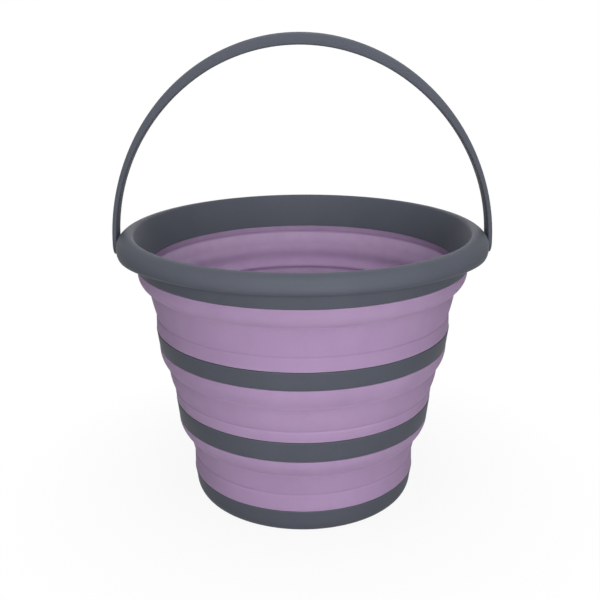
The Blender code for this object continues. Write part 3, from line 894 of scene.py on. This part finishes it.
bm = bmesh.new()
wear_and_painted_light = bm.verts.layers.float.new("wear_and_painted_light")
rings = []
for station in handle_stations():
    ring = []
    for x, y, z, share in station:
        vert = bm.verts.new((x, y, z))
        vert[wear_and_painted_light] = share
        ring.append(vert)
    rings.append(ring)
for ring, following in zip(rings, rings[1:]):
    join_rings(bm, ring, following, len(ring))
bm.faces.new(rings[0])
bm.faces.new(rings[-1])
handle = finished("bail_handle", bm)
head_hole = PIN_HEAD_RADIUS + PIN_CLEARANCE
head_seat = pivot_high.x - PIN_HEAD_THICKNESS - PIN_CLEARANCE
for side in (1, -1):
    hole = rod(
        "hole",
        [
            (boss_end, 0),
            (boss_end, hole_radius),
            (head_seat, hole_radius),
            (head_seat, head_hole),
            (pivot_high.x + BOSS_WALL, head_hole),
            (pivot_high.x + BOSS_WALL, 0),
        ],
        side,
    )
    combine(handle, hole, "DIFFERENCE")
fit(handle, slate("handle_slate", drift=9.6), "slate_plastic", "handle")
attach(handle, "handle")


# Studio: a pale floor under a weak white sky. A soft lamp stands low by the camera, one above it
# lights the rim's top and the inside, and a broad weak one behind draws the back edges.
FLOOR_REACH = 6
FLOOR_CORNERS = 64
FLOOR_COLOUR = (0.60, 0.60, 0.60, 1)
FLOOR_SHARE_SEEN_WHITE = 0.92
SHADOW_REACH = 0.12
SHADOW_END = 0.3
SKY_LIGHT = (0.11, 0.11, 0.11, 1)
WHITE = (1, 1, 1, 1)
LAMP_AIM = (0, 0, 0.2)
LAMPS = {
    "front": ((0.09, -1.08, 0.44), (0.5, 0.4), 7.7),
    "top": ((0.03, -0.45, 1.25), (0.5, 0.5), 7.2),
    "back": ((0, 1.1, 0.6), (1.2, 0.8), 3.2),
}
CAMERA_PLACE = (-0.0024, -0.7788, 0.4277)
CAMERA_PITCH = 17.58
CAMERA_ROLL = -0.35
CAMERA_LENS = 53.15


def seen_directly(draw):
    """1 for what the camera sees itself or in gloss or through glass, and 0 for other light."""
    path = draw.node("LightPath").socket.node
    rays = [Shade(draw.tree, path.outputs[name]) for name in (
        "Is Camera Ray", "Is Glossy Ray", "Is Transmission Ray"
    )]
    return (rays[0] + rays[1] + rays[2]).clamped()


world = bpy.data.worlds.new("studio")
bpy.context.scene.world = world
world.use_nodes = True
draw = Shade(world.node_tree)
sky = seen_directly(draw).mix(SKY_LIGHT, WHITE)
world.node_tree.links.new(sky.socket, world.node_tree.nodes["Background"].inputs["Color"])

bm = bmesh.new()
bmesh.ops.create_circle(bm, cap_ends=True, segments=FLOOR_CORNERS, radius=FLOOR_REACH)
floor_mesh = bpy.data.meshes.new("floor")
bm.to_mesh(floor_mesh)
bm.free()
floor = bpy.data.objects.new("floor", floor_mesh)
bpy.context.scene.collection.objects.link(floor)
floor_finish = bpy.data.materials.new("floor_white")
floor_finish.use_nodes = True
draw = Shade(floor_finish.node_tree)
matt = draw.node("BsdfDiffuse", values={"Color": FLOOR_COLOUR})
bright = draw.node("Emission", values={"Color": WHITE})
place = draw.node("TexCoord", output=3)
distance = draw.node("VectorMath", {"operation": "LENGTH"}, {0: place}, 1)
far = draw.node(
    "MapRange", values={"Value": distance, "From Min": SHADOW_REACH, "From Max": SHADOW_END}
)
share = seen_directly(draw) * (FLOOR_SHARE_SEEN_WHITE + far * (1 - FLOOR_SHARE_SEEN_WHITE))
surface = draw.node("MixShader", values={0: share, 1: matt, 2: bright})
output = floor_finish.node_tree.nodes["Material Output"]
floor_finish.node_tree.links.new(surface.socket, output.inputs["Surface"])
floor_mesh.materials.append(floor_finish)

for name, (lamp_place, lamp_size, lamp_power) in LAMPS.items():
    lamp = bpy.data.lights.new(name, "AREA")
    lamp.shape = "RECTANGLE"
    lamp.size, lamp.size_y = lamp_size
    lamp.energy = lamp_power
    lamp_object = bpy.data.objects.new(name, lamp)
    bpy.context.scene.collection.objects.link(lamp_object)
    lamp_object.location = lamp_place
    aim = Vector(LAMP_AIM) - Vector(lamp_place)
    lamp_object.rotation_euler = aim.to_track_quat("-Z", "Y").to_euler()

camera_data = bpy.data.cameras.new("camera")
camera_data.lens = CAMERA_LENS
camera = bpy.data.objects.new("camera", camera_data)
bpy.context.scene.collection.objects.link(camera)
tilt = Euler((math.radians(90 - CAMERA_PITCH), 0, 0)).to_matrix()
roll = Matrix.Rotation(math.radians(CAMERA_ROLL), 3, "Z")
camera.matrix_world = Matrix.Translation(CAMERA_PLACE) @ (tilt @ roll).to_4x4()
bpy.context.scene.camera = camera
bpy.context.scene.view_settings.view_transform = "Standard"
